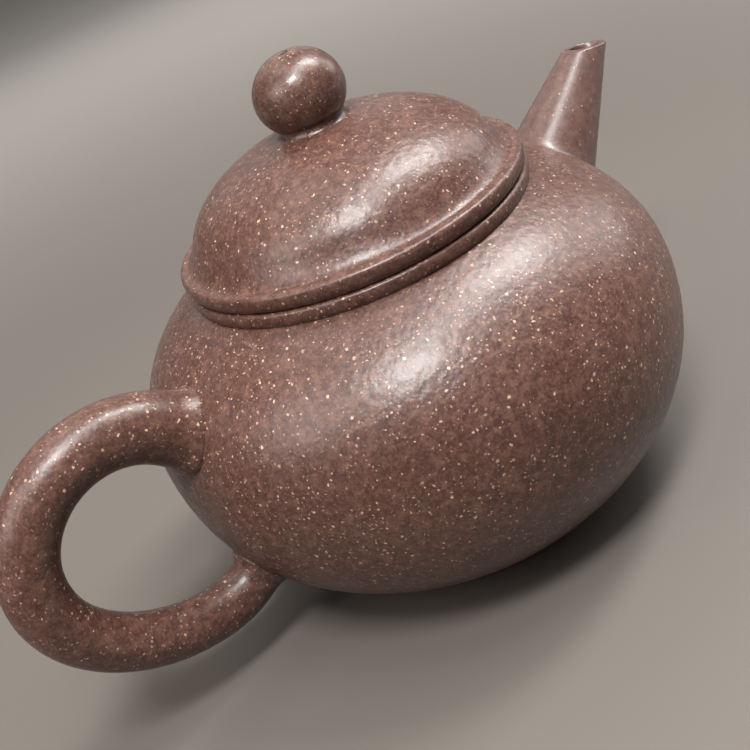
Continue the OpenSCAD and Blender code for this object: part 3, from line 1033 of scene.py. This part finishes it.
def floorSheet():
    sheet = bpy.data.meshes.new("floor")
    half = studio["floorSize"] / 2
    corners = [(-half, -half, 0), (half, -half, 0), (half, half, 0), (-half, half, 0)]
    sheet.from_pydata(corners, [], [(0, 1, 2, 3)])
    floor = bpy.data.objects.new("floor", sheet)
    bpy.context.scene.collection.objects.link(floor)
    material = bpy.data.materials.new("paleFloor")
    material.use_nodes = True
    material.node_tree.nodes.clear()
    bench = Bench(material.node_tree)
    place = bench.add("ShaderNodeTexCoord", {}, {}, "Object")
    drift = bench.add("ShaderNodeTexNoise", {},
                      {"Vector": place, "Scale": studio["driftScale"], "Detail": 2.0})
    darker = tuple(studio["driftShade"] * c for c in studio["nearFloorPaintedShade"][:3]) + (1,)
    # darker floor round the pot is painted shade, which also keeps bounce light off the pot's underside
    near = bench.blend(drift, studio["nearFloorPaintedShade"], darker)
    away = bench.add("ShaderNodeVectorMath", {"operation": "LENGTH"}, {0: place}, "Value")
    paler = bench.between(away, studio["paleFrom"], studio["paleBy"])
    shader = bench.add("ShaderNodeBsdfPrincipled", {}, {
        "Base Color": bench.blend(paler, near, studio["farColour"]), "Roughness": studio["floorRoughness"]})
    bench.add("ShaderNodeOutputMaterial", {}, {"Surface": shader})
    sheet.materials.append(material)


floorSheet()

world = bpy.data.worlds.new("air")
world.use_nodes = True
bpy.context.scene.world = world
background = world.node_tree.nodes["Background"]
background.inputs["Color"].default_value = studio["air"]
background.inputs["Strength"].default_value = studio["airStrength"]


def softBox(name, direction, distance, size, watts, colour):
    light = bpy.data.lights.new(name, "AREA")
    light.shape = "RECTANGLE"
    light.size, light.size_y = size
    light.energy, light.color = watts, colour
    lamp = bpy.data.objects.new(name, light)
    bpy.context.scene.collection.objects.link(lamp)
    back = Vector(direction).normalized()
    lamp.location = Vector(studio["lightsAimAt"]) + back * distance
    level = Vector((1, 0, 0))
    right = (level - back * back.dot(level)).normalized()
    up = back.cross(right)
    lamp.rotation_mode = "QUATERNION"
    lamp.rotation_quaternion = Matrix((right, up, back)).transposed().to_quaternion()
    lamp.visible_camera = False


keyColour = (1.0, 0.99, 0.97)
skyColour = (1.0, 0.98, 0.97)
warmColour = (1.0, 0.92, 0.87)
softBox("keyNear", (-0.27, -0.39, 0.88), distance=0.60, size=(0.20, 0.09), watts=4.5, colour=keyColour)
softBox("keyOver", (0.10, -0.24, 0.96), distance=0.60, size=(0.22, 0.10), watts=1.4, colour=keyColour)
softBox("keyFar", (0.52, -0.12, 0.85), distance=0.60, size=(0.28, 0.10), watts=3.7, colour=keyColour)
softBox("sideFill", (0.86, -0.10, 0.50), distance=1.5, size=(1.30, 0.60), watts=9.5, colour=skyColour)
softBox("leftFill", (-0.78, 0.00, 0.62), distance=0.9, size=(0.55, 0.45), watts=4.4, colour=warmColour)
softBox("topFill", (-0.10, 0.36, 0.93), distance=0.9, size=(0.50, 0.40), watts=1.6,
        colour=(1.0, 0.93, 0.87))
softBox("backFill", (0.35, 0.80, 0.50), distance=0.9, size=(0.9, 0.6), watts=0.8, colour=skyColour)

view = {
    "azimuth": -28.0,
    "elevation": 29.0,
    "roll": 24.5,
    "lens": 48.0,
    "sensor": 36.0,
    "clip": (0.01, 50.0),
    "from": 162.3 * mm,        # distance along the view from the belly's middle
    "aside": (-5.3 * mm, -4.8 * mm),
}
azimuth, elevation, roll = (math.radians(view[k]) for k in ("azimuth", "elevation", "roll"))
back = Vector((math.sin(azimuth) * math.cos(elevation), -math.cos(azimuth) * math.cos(elevation),
               math.sin(elevation)))
level = (-back).cross(Vector((0, 0, 1))).normalized()
above = level.cross(-back)
right = level * math.cos(roll) - above * math.sin(roll)
up = above * math.cos(roll) + level * math.sin(roll)
camera = bpy.data.cameras.new("camera")
camera.sensor_width, camera.sensor_fit, camera.lens = view["sensor"], "HORIZONTAL", view["lens"]
camera.clip_start, camera.clip_end = view["clip"]
eye = bpy.data.objects.new("camera", camera)
bpy.context.scene.collection.objects.link(eye)
eye.rotation_mode = "QUATERNION"
eye.rotation_quaternion = Matrix((right, up, back)).transposed().to_quaternion()
middle = Vector((0, 0, belly["widestAt"]))
eye.location = middle + back * view["from"] + right * view["aside"][0] + up * view["aside"][1]
bpy.context.scene.camera = eye
bpy.context.scene.view_settings.view_transform = "Standard"
